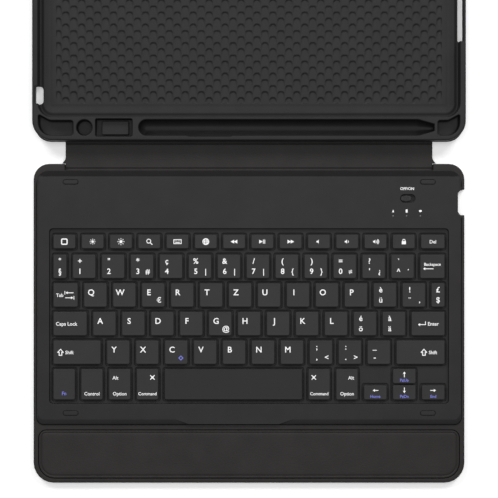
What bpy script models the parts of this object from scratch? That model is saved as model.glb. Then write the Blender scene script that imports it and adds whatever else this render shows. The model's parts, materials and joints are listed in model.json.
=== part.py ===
"""A folding keyboard case for a 10.2 inch tablet, lying open and flat.

The keyboard base is at the front (-Y) and the tablet tray behind it (+Y), joined by a leather spine
that folds along three creases. The origin is the middle of the underside of the whole open case.
All lengths below are in millimetres; the meshes are written in metres.
"""

import math

import bmesh
import bpy
from mathutils import Vector
from mathutils.geometry import delaunay_2d_cdt, intersect_point_line

METRES = 0.001
GAP = 0.3                       # clearance between neighbouring pieces

# Overall plan
CASE_WIDTH = 258.0
BASE_DEPTH = 191.0
HINGE_GAP = 13.5                # from the base's ears to the tray's near edge
TRAY_DEPTH = 190.5
FRONT = -(BASE_DEPTH + HINGE_GAP + TRAY_DEPTH) / 2
EAR_EDGE = FRONT + BASE_DEPTH
TRAY_EDGE = EAR_EDGE + HINGE_GAP
CORNER = 12.0
EAR_CORNER = 9.3

# Creases, as distances behind the ears
PANEL = 1.4                     # thickness of the spine, leg and back panels
AXIS_Z = PANEL / 2
FRONT_CREASE = EAR_EDGE - 3.0
REAR_CREASE = EAR_EDGE + 12.5
TILT_CREASE = REAR_CREASE + 97.4
CREASE_EDGE = 0.75              # from a crease's axis to the panel beside it
SPINE_HALF = 110.0

# Base heights
SHELL_FLOOR = (0.0, 1.0)
RIM_TOP = 3.6
PALM = (1.3, 3.8)
HOUSING_BOTTOM = 1.3
FLOOR_PLATE = (1.3, 1.7)
SUPPORT = (2.0, 2.3)
DOME_SHEET = (2.55, 2.7)
DOME_TOP = 3.75
WEB = (3.0, 3.4)
KEY_BOTTOM = 4.1
KEY_SHOULDER = 5.3
KEY_TOP = 5.6
KEY_LINK = (4.85, 5.15)
DECK = (4.4, 5.3)
SCREW_SEAT = 3.7
BUMPER = (4.75, 5.7)

# Keyboard module, in X and in distance from the base's front edge
MODULE_HALF = 126.8
MODULE_FRONT = 35.1
MODULE_REAR = 186.7
MODULE_CORNER = 4.0
WALL = 1.6
WELL_HALF = 119.3
WELL_FRONT = 47.6
WELL_REAR = 152.2
PALM_HALF = 125.8
PALM_FRONT = 2.9
PALM_REAR = 31.5

# Keys
KEY_HALF_SPAN = 117.1
KEY_GAP = 3.3
ROW_GAP = 2.6
KEY = 14.0
KEY_DEPTH = 14.5
FUNCTION_DEPTH = 8.6
BOTTOM_DEPTH = 18.6
ARROW_DEPTH = 8.9
KEY_CHAMFER = 0.5
KEY_ROOM = 0.4                  # clearance round a key in its hole
KEYS_START = 49.8

# Charging notch in the right edge
NOTCH_INNER = 125.2
NOTCH_FRONT = 160.3
NOTCH_REAR = 175.5
PORT_CENTRE = 168.0

# Tray heights and plan
TRAY_BOTTOM = PANEL + GAP
TRAY_TOP = 11.0
TRAY_SHOULDER = 10.2
POCKET_FLOOR = 2.7
POCKET_HALF = 125.5
POCKET_NEAR = 14.2
POCKET_FAR = 188.8
BAY_CENTRE = 7.7
BAY_FLOOR = 4.0
CHANNEL_RADIUS = 4.7
CHANNEL_BOTTOM = 2.3
CHANNEL_LEFT = -65.7
CHANNEL_RIGHT = 110.5
BRIDGE_BOTTOM = 8.5             # underside of the rim where it passes over an opening

INSIDE_OUTLINES = 1             # delaunay_2d_cdt: triangles enclosed by the outlines
MERGE = 1e-5


def base_y(distance):
    """Y of a line this far behind the base's front edge."""
    return FRONT + distance


def tray_y(distance):
    """Y of a line this far behind the tray's near edge."""
    return TRAY_EDGE + distance


# Finishes ---------------------------------------------------------------------------------------

def finish(name, colour, roughness, metallic=0.0):
    material = bpy.data.materials.new(name)
    material.use_nodes = True
    shader = material.node_tree.nodes["Principled BSDF"]
    shader.inputs["Base Color"].default_value = (*colour, 1.0)
    shader.inputs["Roughness"].default_value = roughness
    shader.inputs["Metallic"].default_value = metallic
    return material


def make_finishes():
    return {
        "leather": finish("leather", (0.040, 0.039, 0.036), 0.75),
        "housing": finish("housing", (0.038, 0.037, 0.038), 0.6),
        "key": finish("key", (0.050, 0.049, 0.051), 0.5),
        "bumper": finish("bumper", (0.035, 0.035, 0.035), 0.8),
        "tray": finish("tray", (0.045, 0.044, 0.045), 0.65),
        "steel": finish("steel", (0.45, 0.45, 0.46), 0.35, 1.0),
        "membrane": finish("membrane", (0.55, 0.55, 0.52), 0.6),
        "board": finish("board", (0.02, 0.10, 0.04), 0.5),
        "cell": finish("cell", (0.30, 0.31, 0.33), 0.4, 0.6),
        "lamp": finish("lamp", (0.80, 0.80, 0.75), 0.3),
    }


# Outlines, counter-clockwise --------------------------------------------------------------------

def arc(centre, radius, start, end, steps):
    """Points from the start angle to the end angle, in degrees, both included."""
    angles = [math.radians(start + (end - start) * i / steps) for i in range(steps + 1)]
    return [(centre[0] + radius * math.cos(a), centre[1] + radius * math.sin(a)) for a in angles]


def rectangle(x0, y0, x1, y1):
    return [(x0, y0), (x1, y0), (x1, y1), (x0, y1)]


def rounded(x0, y0, x1, y1, radii, steps=4):
    """A rectangle with its own radius at each corner: front left, front right, rear right, rear left."""
    front_left, front_right, rear_right, rear_left = radii
    points = arc((x0 + front_left, y0 + front_left), front_left, 180, 270, steps)
    points += arc((x1 - front_right, y0 + front_right), front_right, 270, 360, steps)
    points += arc((x1 - rear_right, y1 - rear_right), rear_right, 0, 90, steps)
    points += arc((x0 + rear_left, y1 - rear_left), rear_left, 90, 180, steps)
    return points


def circle(x, y, radius, sides=12):
    return arc((x, y), radius, 0, 360, sides)[:-1]


def stadium(x, y, length, width, steps=4):
    """A slot of this overall length along X, with round ends."""
    radius = width / 2
    reach = length / 2 - radius
    points = arc((x + reach, y), radius, -90, 90, steps)
    return points + arc((x - reach, y), radius, 90, 270, steps)


def sides_of(loop):
    return list(zip(loop, loop[1:] + loop[:1]))


def encloses(outline, point):
    """Whether a point is inside an outline, by counting the sides to its right."""
    inside = False
    for (x0, y0), (x1, y1) in sides_of(outline):
        if (y0 > point[1]) != (y1 > point[1]):
            crossing = x0 + (point[1] - y0) * (x1 - x0) / (y1 - y0)
            inside ^= crossing > point[0]
    return inside


def is_on(outline, point):
    """Whether a point lies on one of an outline's sides."""
    for start, end in sides_of(outline):
        nearest, along = intersect_point_line(point, Vector(start), Vector(end))
        if 0 <= along <= 1 and (nearest - point).length < MERGE * 10:
            return True
    return False


# Solids -----------------------------------------------------------------------------------------

def add_object(name, mesh_data, material):
    mesh = bpy.data.meshes.new(name)
    mesh_data.to_mesh(mesh)
    mesh_data.free()
    mesh.materials.append(material)
    thing = bpy.data.objects.new(name, mesh)
    bpy.context.scene.collection.objects.link(thing)
    return thing


def plan_triangles(layers):
    """Triangles over all outlines, each with the number of the last layer that encloses it."""
    points = []
    edges = []
    for layer in layers:
        first = len(points)
        count = len(layer[0])
        points.extend(Vector(p) for p in layer[0])
        edges.extend((first + i, first + (i + 1) % count) for i in range(count))
    plan, _, faces, _, _, _ = delaunay_2d_cdt(points, edges, [], INSIDE_OUTLINES, MERGE)
    triangles = []
    for face in faces:
        centre = sum((plan[i] for i in face), Vector((0.0, 0.0))) / 3
        enclosing = [n for n, layer in enumerate(layers) if encloses(layer[0], centre)]
        if enclosing and layers[enclosing[-1]][1]:
            triangles.append((list(face), enclosing[-1]))
    return plan, triangles


def layered_solid(name, layers, material, origin=(0.0, 0.0, 0.0)):
    """One closed solid from plan outlines, each with the heights between which it is solid.

    A layer is (outline, (bottom, top)) and takes the place of earlier layers inside its outline;
    heights of None cut right through. A third item, "slope", makes the layer's top surface run
    from its own top at its outline to the top of the next layer, which lies within it.
    """
    plan, triangles = plan_triangles(layers)
    heights = []
    for face, layer in triangles:
        outline, (bottom, top), *slope = layers[layer]
        inner_top = layers[layer + 1][1][1] if slope else top
        heights.append({i: (bottom, top if is_on(outline, plan[i]) else inner_top) for i in face})
    beside = {side: n for n, (face, _) in enumerate(triangles) for side in sides_of(face)}

    walls = []
    levels = {}
    for number, (face, _) in enumerate(triangles):
        for a, b in sides_of(face):
            here = heights[number]
            there = heights[beside[b, a]] if (b, a) in beside else None
            for lower, upper in wall_spans(here, there, a, b):
                walls.append((a, b, lower, upper))
                levels.setdefault(a, set()).update((lower[0], upper[0]))
                levels.setdefault(b, set()).update((lower[1], upper[1]))

    solid = bmesh.new()
    corners = {}

    def corner(index, height):
        key = (index, round(height, 4))
        if key not in corners:
            x, y = plan[index]
            place = Vector((x - origin[0], y - origin[1], height - origin[2])) * METRES
            corners[key] = solid.verts.new(place)
        return corners[key]

    for number, (face, _) in enumerate(triangles):
        here = heights[number]
        solid.faces.new([corner(i, here[i][1]) for i in face])
        solid.faces.new([corner(i, here[i][0]) for i in reversed(face)])
    for a, b, lower, upper in walls:
        up = sorted(z for z in levels[b] if lower[1] <= z <= upper[1])
        down = sorted((z for z in levels[a] if lower[0] <= z <= upper[0]), reverse=True)
        solid.faces.new([corner(b, z) for z in up] + [corner(a, z) for z in down])
    bmesh.ops.recalc_face_normals(solid, faces=solid.faces)
    thing = add_object(name, solid, material)
    thing.location = Vector(origin) * METRES
    return thing


def wall_spans(here, there, a, b):
    """Wall pieces along a plan side, as (lower heights, upper heights) at its two ends."""
    bottoms = (here[a][0], here[b][0])
    tops = (here[a][1], here[b][1])
    if there is None:
        return [(bottoms, tops)]
    spans = []
    other_bottoms = (there[a][0], there[b][0])
    other_tops = (there[a][1], there[b][1])
    if other_tops[0] < tops[0] or other_tops[1] < tops[1]:
        lower = tuple(max(low, other) for low, other in zip(bottoms, other_tops))
        spans.append((lower, tops))
    if other_bottoms[0] > bottoms[0] or other_bottoms[1] > bottoms[1]:
        upper = tuple(min(high, other) for high, other in zip(tops, other_bottoms))
        spans.append((bottoms, upper))
    return spans


def turned_solid(name, profile, x, y, material, sides=12):
    """A round piece about a vertical axis, from (radius, height) points running top to bottom."""
    solid = bmesh.new()
    rings = []
    for radius, height in profile:
        rings.append([solid.verts.new(Vector((px, py, height)) * METRES)
                      for px, py in circle(x, y, radius, sides)])
    solid.faces.new(rings[0])
    solid.faces.new(reversed(rings[-1]))
    for upper, lower in zip(rings, rings[1:]):
        for i in range(sides):
            j = (i + 1) % sides
            solid.faces.new((upper[j], upper[i], lower[i], lower[j]))
    bmesh.ops.recalc_face_normals(solid, faces=solid.faces)
    piece = add_object(name, solid, material)
    piece.data.shade_smooth()
    piece.data.set_sharp_from_angle(angle=math.radians(35))
    return piece


def cut(piece, cutter):
    """Takes a cutter's shape out of a piece, and leaves the cutter as a guide."""
    cutter.hide_render = True
    cutter.display_type = "WIRE"
    modifier = piece.modifiers.new("cut_" + cutter.name, "BOOLEAN")
    modifier.operation = "DIFFERENCE"
    modifier.object = cutter


# Keyboard layout --------------------------------------------------------------------------------

def spread(widths, names):
    """Keys side by side over the whole span; a width of None takes what is left of the row."""
    fixed = sum(w for w in widths if w)
    spare = 2 * KEY_HALF_SPAN - fixed - KEY_GAP * (len(widths) - 1)
    keys = []
    x = -KEY_HALF_SPAN
    for width, name in zip(widths, names):
        width = width or spare
        keys.append((name, x, x + width))
        x += width + KEY_GAP
    return keys


def row_fronts():
    """Front edge of each key row, from the space bar's row back to the function keys."""
    fronts = {"bottom": KEYS_START}
    fronts["shift"] = fronts["bottom"] + BOTTOM_DEPTH + ROW_GAP
    fronts["caps"] = fronts["shift"] + KEY_DEPTH + ROW_GAP
    fronts["tab"] = fronts["caps"] + KEY_DEPTH + ROW_GAP
    fronts["number"] = fronts["tab"] + KEY_DEPTH + ROW_GAP
    fronts["function"] = fronts["number"] + KEY_DEPTH + KEY_GAP
    return fronts


def key_layout():
    """Plan rectangles of the keys, by the name of the node that carries them."""
    fronts = row_fronts()
    rows = {
        "function": ([13.6] * 13 + [None],
                     ["function_left"] * 6 + ["function_right"] * 7 + ["delete"]),
        "number": ([8.3] + [KEY] * 12 + [None],
                   ["number_left"] * 7 + ["number_right"] * 6 + ["backspace"]),
        "tab": ([None] + [KEY] * 12 + [8.3],
                ["tab"] + ["upper_left"] * 6 + ["upper_right"] * 7),
        "caps": ([20.4] + [KEY] * 11 + [None], ["caps_lock"] + ["home_row"] * 11 + ["enter"]),
        "shift": ([28.7] + [KEY] * 10 + [None], ["left_shift"] + ["lower_row"] * 10 + ["right_shift"]),
        "bottom": ([13.3] * 4 + [None] + [13.3] * 2 + [KEY] * 3,
                   ["fn", "left_control", "left_option", "left_command", "space",
                    "right_command", "right_option", "arrow_left", "arrow_down", "arrow_right"]),
    }
    depths = {"function": FUNCTION_DEPTH, "bottom": BOTTOM_DEPTH}
    layout = {}
    for row, (widths, names) in rows.items():
        front = base_y(fronts[row])
        depth = depths.get(row, KEY_DEPTH)
        for name, x0, x1 in spread(widths, names):
            rear = front + (ARROW_DEPTH if name.startswith("arrow") else depth)
            layout.setdefault("key_" + name, []).append((x0, front, x1, rear))
    x0, front, x1, _ = layout["key_arrow_down"][0]
    rear = front + BOTTOM_DEPTH
    layout["key_arrow_up"] = [(x0, rear - ARROW_DEPTH, x1, rear)]
    return layout


def make_keys(layout, finishes):
    """One solid for each key node; keys that share a node are joined by a thin link between them."""
    for name, places in layout.items():
        layers = []
        if len(places) > 1:
            middle = (places[0][1] + places[0][3]) / 2
            layers.append((rectangle(places[0][0] + 2, middle - 1, places[-1][2] - 2, middle + 1),
                           KEY_LINK))
        for x0, y0, x1, y1 in places:
            layers.append((rectangle(x0, y0, x1, y1), (KEY_BOTTOM, KEY_SHOULDER), "slope"))
            layers.append((rectangle(x0 + KEY_CHAMFER, y0 + KEY_CHAMFER,
                                     x1 - KEY_CHAMFER, y1 - KEY_CHAMFER), (KEY_BOTTOM, KEY_TOP)))
        layered_solid(name, layers, finishes["key"])


# Base -------------------------------------------------------------------------------------------

def notch(grow, outer=CASE_WIDTH / 2 + 1.0):
    """The charging notch in the right edge, widened by this much, out to the outer X."""
    front = base_y(NOTCH_FRONT) - grow
    rear = base_y(NOTCH_REAR) + grow
    inner = NOTCH_INNER - grow
    return [(outer, front), (outer, rear), (inner + 2.2, rear), (inner, rear - 1.8),
            (inner, front + 2.1), (inner + 1.6, front)]


def module_outline(inset):
    return rounded(-MODULE_HALF + inset, base_y(MODULE_FRONT) + inset,
                   MODULE_HALF - inset, base_y(MODULE_REAR) - inset, [MODULE_CORNER - inset] * 4, 3)


def bumper_places():
    return [(x, base_y(d)) for d in (41.9, 180.0) for x in (-106.6, 106.9)]


def make_base_shell(finishes):
    half = CASE_WIDTH / 2
    outline = rounded(-half, FRONT, half, EAR_EDGE, [CORNER, CORNER, EAR_CORNER, EAR_CORNER], 5)
    palm = rounded(-PALM_HALF - GAP, base_y(PALM_FRONT) - GAP, PALM_HALF + GAP,
                   base_y(PALM_REAR) + GAP, [9.5, 9.5, 4.8, 4.8])
    spine_room = rectangle(-SPINE_HALF - GAP, base_y(MODULE_REAR) + GAP, SPINE_HALF + GAP, EAR_EDGE + 1)
    layered_solid("base_shell", [
        (outline, (0.0, RIM_TOP)),
        (module_outline(-GAP), SHELL_FLOOR),
        (palm, SHELL_FLOOR),
        (spine_room, None),
        (notch(0.0), None),
    ], finishes["leather"])


def make_palm_rest(finishes):
    """The padded strip in front of the keys, with a bay in its underside for the closing magnet."""
    outline = rounded(-PALM_HALF, base_y(PALM_FRONT), PALM_HALF, base_y(PALM_REAR),
                      [9.2, 9.2, 4.5, 4.5])
    bay = rectangle(-30 - GAP, base_y(8) - GAP, 30 + GAP, base_y(13) + GAP)
    layered_solid("palm_rest", [(outline, PALM), (bay, (2.6, PALM[1]))], finishes["leather"])
    layered_solid("closure_magnet", [(rectangle(-30, base_y(8), 30, base_y(13)), (1.3, 2.3))],
                  finishes["steel"])


def make_top_housing(layout, finishes):
    well = rounded(-WELL_HALF, base_y(WELL_FRONT), WELL_HALF, base_y(WELL_REAR), [2.0] * 4, 2)
    ring = rounded(-WELL_HALF - 1.2, base_y(WELL_FRONT) - 1.2, WELL_HALF + 1.2,
                   base_y(WELL_REAR) + 1.2, [3.2] * 4, 2)
    port = rectangle(NOTCH_INNER - WALL - 2 * GAP, base_y(PORT_CENTRE) - 4.2,
                     NOTCH_INNER - GAP / 2, base_y(PORT_CENTRE) + 4.2)
    layers = [
        (module_outline(0.0), (HOUSING_BOTTOM, DECK[1])),
        (module_outline(WALL), DECK),
        (notch(GAP + WALL, MODULE_HALF), (HOUSING_BOTTOM, DECK[1])),
        (port, DECK),
        (notch(GAP), None),
        (ring, (WEB[0], DECK[1])),
        (well, WEB),
    ]
    for places in layout.values():
        for x0, y0, x1, y1 in places:
            hole = rectangle(x0 - KEY_ROOM, y0 - KEY_ROOM, x1 + KEY_ROOM, y1 + KEY_ROOM)
            layers.append((hole, None))
    for x, y in bumper_places():
        layers.append((stadium(x, y, 12.0, 5.8, 3), (2.6, DECK[1])))
        layers.append((stadium(x, y, 9.4, 3.2, 3), (2.6, SCREW_SEAT)))
        layers.append((circle(x, y, 0.9, 8), None))
    layers.append((stadium(*switch_place(), 9.0, 5.0, 3), None))
    layers += [(circle(x, y, 0.75, 8), None) for x, y in lamp_places().values()]
    layered_solid("top_housing", layers, finishes["housing"])


def make_bottom_housing(finishes):
    layers = [
        (module_outline(WALL + GAP), FLOOR_PLATE),
        (notch(WALL + 2 * GAP), None),
    ]
    for x, y in bumper_places():
        layers.append((circle(x, y, 2.2, 8), (FLOOR_PLATE[0], 2.3)))
        layers.append((circle(x, y, 0.9, 8), None))
    layered_solid("bottom_housing", layers, finishes["housing"])


def make_key_mechanism(layout, finishes):
    """The metal plate under the keys, and the rubber dome sheet on it."""
    inset = 1.5
    outline = rectangle(-WELL_HALF + inset, base_y(WELL_FRONT) + inset,
                        WELL_HALF - inset, base_y(WELL_REAR) - inset)
    layered_solid("support_plate", [(outline, SUPPORT)], finishes["steel"])
    layers = [(outline, DOME_SHEET)]
    for places in layout.values():
        for x0, y0, x1, y1 in places:
            dome = circle((x0 + x1) / 2, (y0 + y1) / 2, 2.0, 6)
            layers.append((dome, (DOME_SHEET[0], DOME_TOP)))
    layered_solid("dome_sheet", layers, finishes["membrane"])


def switch_place():
    return 94.9, base_y(170.2)


def lamp_places():
    y = base_y(159.8)
    return {"caps_lamp": (86.1, y), "battery_lamp": (94.2, y), "pairing_lamp": (102.4, y)}


def make_electronics(finishes):
    battery = rounded(-34, base_y(156), 34, base_y(184), [2.0] * 4, 2)
    tab = rectangle(33, base_y(158), 37, base_y(164))
    layered_solid("battery", [(battery, (2.0, 4.0)), (tab, (2.0, 2.6))], finishes["cell"])
    board = rectangle(84, base_y(156), 119, base_y(184.0))
    room = circle(106.9, base_y(180.0), 3.8, 8)
    layered_solid("circuit_board", [(board, (2.0, 2.6)), (room, None)], finishes["board"])
    x, y = switch_place()
    layered_solid("switch_body", [(rectangle(x - 4.5, y - 3, x + 4.5, y + 3), (2.9, 3.4))],
                  finishes["steel"])
    y = base_y(PORT_CENTRE)
    mouth = NOTCH_INNER - GAP
    port = layered_solid("charge_port", [(rectangle(mouth - 5.6, y - 3.75, mouth, y + 3.75), (2.0, 4.1))],
                         finishes["steel"])
    room = rectangle(mouth - 4.6, y - 3.2, mouth + 1, y + 3.2)
    cut(port, layered_solid("charge_port_cutter", [(room, (2.5, 3.6))], finishes["steel"]))
    for name, (x, y) in lamp_places().items():
        turned_solid(name, [(0.45, DECK[1]), (0.45, 2.9)], x, y, finishes["lamp"], 8)


def make_power_slider(finishes):
    """The sliding knob, in its off position at the left of its slot; its origin is on its path."""
    x, y = switch_place()
    x -= 1.0
    layered_solid("power_slider", [
        (stadium(x, y, 7.0, 4.2, 3), (3.7, 4.1)),
        (stadium(x, y, 6.4, 3.4, 3), (3.7, 4.9)),
    ], finishes["housing"], origin=(x, y, DECK[0]))


def make_bumpers_and_screws(finishes):
    for number, (x, y) in enumerate(bumper_places(), start=1):
        layered_solid(f"bumper_{number}", [
            (stadium(x, y, 8.8, 2.6), (BUMPER[0], BUMPER[1] - 0.4), "slope"),
            (stadium(x, y, 7.8, 1.6), BUMPER),
        ], finishes["bumper"])
        turned_solid(f"screw_{number}", [(1.3, SCREW_SEAT + 0.75), (1.3, SCREW_SEAT + GAP / 2),
                                         (0.6, SCREW_SEAT + GAP / 2), (0.6, FLOOR_PLATE[0])],
                     x, y, finishes["steel"], 10)


def make_dock_magnets(finishes):
    for side, name in ((-1, "dock_magnet_left"), (1, "dock_magnet_right")):
        x = 60.0 * side
        outline = rectangle(x - 20, base_y(166), x + 20, base_y(174))
        layered_solid(name, [(outline, (2.3, 4.1))], finishes["steel"])


# Spine and panels -------------------------------------------------------------------------------

def make_spine(finishes):
    """The panels between the creases, and the soft leather lines that they fold on."""
    leather = finishes["leather"]
    crease = (0.3, PANEL - 0.3)
    edge = CREASE_EDGE
    spine = rectangle(-SPINE_HALF, FRONT_CREASE + edge, SPINE_HALF, REAR_CREASE - edge)
    layered_solid("spine_panel", [(spine, (0.0, PANEL))], leather, (0.0, FRONT_CREASE, AXIS_Z))
    front = rectangle(-SPINE_HALF, FRONT_CREASE - 0.7, SPINE_HALF, FRONT_CREASE + edge - GAP)
    layered_solid("front_crease", [(front, crease)], leather)
    for name, y in (("rear_crease", REAR_CREASE), ("tilt_crease", TILT_CREASE)):
        strip = rectangle(-SPINE_HALF, y - edge + GAP, SPINE_HALF, y + edge - GAP)
        layered_solid(name, [(strip, crease)], leather)


def headphone_hole(grow=0.0):
    return rounded(-127.5 - grow, tray_y(22.0) - grow, -123.0 + grow, tray_y(32.7) + grow,
                   [0.5, 2.2, 2.2, 0.5], 3)


def speaker_slot(grow=0.0):
    return rounded(124.8 - grow, tray_y(59.0) - grow, 127.8 + grow, tray_y(143.0) + grow,
                   [1.4, 0.5, 0.5, 1.4], 3)


def camera_hole(grow=0.0):
    return circle(-112.5, tray_y(176.0), 6.5 + grow, 16)


def make_panels(finishes):
    """The leg that stands the tray up, and the back panel that carries it."""
    half = CASE_WIDTH / 2 - 0.4
    openings = [(headphone_hole(GAP), None), (speaker_slot(GAP), None), (camera_hole(GAP), None)]
    leg = rounded(-half, REAR_CREASE + CREASE_EDGE, half, TILT_CREASE - CREASE_EDGE,
                  [CORNER - 2, CORNER - 2, 0.5, 0.5])
    layered_solid("leg_panel", [(leg, (0.0, PANEL))] + openings[:2], finishes["leather"],
                  (0.0, REAR_CREASE, AXIS_Z))
    back = rounded(-half, TILT_CREASE + CREASE_EDGE, half, tray_y(TRAY_DEPTH) - 0.4,
                   [0.5, 0.5, CORNER - 0.4, CORNER - 0.4])
    layered_solid("back_panel", [(back, (0.0, PANEL))] + openings[1:], finishes["leather"],
                  (0.0, TILT_CREASE, AXIS_Z))


# Tray -------------------------------------------------------------------------------------------

def magnet_slot(side, grow):
    x = 60.0 * side
    return rectangle(x - 20 - grow, tray_y(0.9) - grow, x + 20 + grow, tray_y(1.8) + grow)


def tray_layers():
    half = CASE_WIDTH / 2
    outer = rounded(-half, TRAY_EDGE, half, tray_y(TRAY_DEPTH), [CORNER] * 4, 5)
    top = rounded(-half + 1, TRAY_EDGE + 1, half - 1, tray_y(TRAY_DEPTH) - 1, [CORNER - 1] * 4, 5)
    pocket = rounded(-POCKET_HALF, tray_y(POCKET_NEAR), POCKET_HALF, tray_y(POCKET_FAR), [8.0] * 4)
    solid = (TRAY_BOTTOM, TRAY_TOP)
    bay = (TRAY_BOTTOM, BAY_FLOOR)
    bridge = (BRIDGE_BOTTOM, TRAY_TOP)
    return [
        (outer, (TRAY_BOTTOM, TRAY_SHOULDER), "slope"),
        (top, solid),
        (pocket, (TRAY_BOTTOM, POCKET_FLOOR)),
        (rounded(-125.0, tray_y(3.0), -104.5, tray_y(12.4), [6.0, 1.5, 1.5, 3.0], 3), bay),
        (circle(-97.9, tray_y(BAY_CENTRE), 4.75, 16), (TRAY_BOTTOM, 3.0)),
        (rounded(-91.4, tray_y(2.4), -69.3, tray_y(13.0), [1.0] * 4, 2), bay),
        (rectangle(-87.8, tray_y(3.6), -71.7, tray_y(11.8)), (TRAY_BOTTOM, 7.0)),
        (rounded(112.2, tray_y(3.0), 125.0, tray_y(12.4), [1.5, 6.0, 3.0, 1.5], 3), bay),
        (magnet_slot(-1, GAP), (7.4, TRAY_TOP)),
        (magnet_slot(1, GAP), (7.4, TRAY_TOP)),
        (rectangle(-half + 1, tray_y(21.0), -POCKET_HALF, tray_y(33.7)), bridge),
        (headphone_hole(), None),
        (rectangle(POCKET_HALF, tray_y(57.5), half - 1, tray_y(144.5)), bridge),
        (speaker_slot(), None),
        (rectangle(-half, tray_y(160.0), -POCKET_HALF, tray_y(174.0)), (TRAY_BOTTOM, 5.0)),
        (rectangle(-103.0, tray_y(POCKET_FAR), -70.0, tray_y(TRAY_DEPTH)), (TRAY_BOTTOM, 5.0)),
        (camera_hole(), None),
    ]


def channel_cutter(material):
    """A lying bar with a half-round underside and straight sides, the room for a stylus."""
    y = tray_y(BAY_CENTRE)
    profile = arc((y, CHANNEL_BOTTOM + CHANNEL_RADIUS), CHANNEL_RADIUS, 180, 360, 12)
    profile += [(y + CHANNEL_RADIUS, TRAY_TOP + 1), (y - CHANNEL_RADIUS, TRAY_TOP + 1)]
    solid = bmesh.new()
    ends = [[solid.verts.new(Vector((x, *point)) * METRES) for point in profile]
            for x in (CHANNEL_LEFT, CHANNEL_RIGHT)]
    solid.faces.new(ends[0])
    solid.faces.new(reversed(ends[1]))
    for (a, b), (c, d) in zip(sides_of(ends[0]), sides_of(ends[1])):
        solid.faces.new((a, c, d, b))
    bmesh.ops.recalc_face_normals(solid, faces=solid.faces)
    return add_object("stylus_channel_cutter", solid, material)


def finger_notch_cutter(material):
    """A short wide scoop on the near side of the stylus channel."""
    scoop = rounded(-37.6, tray_y(2.4), -9.0, tray_y(BAY_CENTRE), [2.5, 2.5, 0.5, 0.5], 3)
    return layered_solid("finger_notch_cutter", [(scoop, (7.5, TRAY_TOP + 1))], material)


def make_tray(finishes):
    tray = layered_solid("tray_shell", tray_layers(), finishes["tray"])
    cut(tray, channel_cutter(finishes["tray"]))
    cut(tray, finger_notch_cutter(finishes["tray"]))
    for side, name in ((-1, "tray_magnet_left"), (1, "tray_magnet_right")):
        layered_solid(name, [(magnet_slot(side, 0.0), (2.0, 7.1))], finishes["steel"])


def main():
    for thing in list(bpy.data.objects):
        bpy.data.objects.remove(thing, do_unlink=True)
    finishes = make_finishes()
    layout = key_layout()
    make_base_shell(finishes)
    make_palm_rest(finishes)
    make_top_housing(layout, finishes)
    make_bottom_housing(finishes)
    make_key_mechanism(layout, finishes)
    make_electronics(finishes)
    make_power_slider(finishes)
    make_bumpers_and_screws(finishes)
    make_dock_magnets(finishes)
    make_keys(layout, finishes)
    make_spine(finishes)
    make_panels(finishes)
    make_tray(finishes)


main()
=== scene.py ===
"""Looks of the tablet keyboard case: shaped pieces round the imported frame, materials, light and camera.

Shapes are in millimetres in the row frame, and become metres when a mesh is made.
"""

import json
import math

import bmesh
import bpy
import numpy as np
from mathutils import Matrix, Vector
from mathutils.geometry import delaunay_2d_cdt


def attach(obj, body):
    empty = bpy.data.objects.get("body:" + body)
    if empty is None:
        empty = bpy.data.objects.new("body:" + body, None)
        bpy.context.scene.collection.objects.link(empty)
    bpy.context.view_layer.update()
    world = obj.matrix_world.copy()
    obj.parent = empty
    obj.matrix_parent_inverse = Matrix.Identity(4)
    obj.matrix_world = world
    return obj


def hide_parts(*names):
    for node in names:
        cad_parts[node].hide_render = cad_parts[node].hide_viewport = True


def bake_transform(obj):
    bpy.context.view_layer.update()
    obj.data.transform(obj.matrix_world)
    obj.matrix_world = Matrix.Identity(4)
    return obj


METRES = 0.001
CASE_HALF = 129.0
FRONT = -197.5                     # the base's front edge
EAR_EDGE = -6.5                    # the base's rear edge, at the ears beside the spine
TRAY_EDGE = 7.0                    # the tray's near edge
TRAY_DEPTH = 190.5
FRONT_CREASE = -9.5
REAR_CREASE = 6.0
TILT_CREASE = 103.4
CREASE_EDGE = 0.75
SPINE_HALF = 110.0
PANEL = 1.4
KEY_TOP = 5.6
KEY_BOTTOM = 4.1
KEY_CHAMFER = 0.5
DECK_TOP = 5.3
WEB_TOP = 3.4
CELL_WIDTH = 4.775                 # of the tray floor's pattern
CELL_LENGTH = 7.34
WELD = 1e-7


def base_y(distance):
    """Y of a line this far behind the base's front edge."""
    return FRONT + distance


def tray_y(distance):
    """Y of a line this far behind the tray's near edge."""
    return TRAY_EDGE + distance


# Outlines ---------------------------------------------------------------------------------------

def path(corners, inset=0.0, steps=6):
    """Points round a closed counter-clockwise path of (x, y, radius) corners, moved inwards.

    inset is one amount, or one for each edge, starting with the edge that leaves the first corner.
    """
    count = len(corners)
    amounts = list(inset) if isinstance(inset, (list, tuple)) else [inset] * count
    points = []
    for i, (x, y, radius) in enumerate(corners):
        here = Vector((x, y))
        into = (here - Vector(corners[i - 1][:2])).normalized()
        away = (Vector(corners[(i + 1) % count][:2]) - here).normalized()
        left_in = Vector((-into.y, into.x))
        left_out = Vector((-away.y, away.x))
        along = left_in.dot(left_out)
        before, after = amounts[i - 1], amounts[i]
        shift = ((before - after * along) * left_in + (after - before * along) * left_out)
        corner = here + shift / (1 - along * along)
        turn = math.atan2(into.cross(away), along)
        side = 1 if turn > 0 else -1
        size = max(radius - side * min(before, after), 0.02)
        start = corner - into * size * math.tan(abs(turn) / 2)
        centre = start + left_in * size * side
        spoke = start - centre
        for k in range(steps + 1):
            angle = turn * k / steps
            c, s = math.cos(angle), math.sin(angle)
            points.append((centre.x + spoke.x * c - spoke.y * s, centre.y + spoke.x * s + spoke.y * c))
    return points


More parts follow.
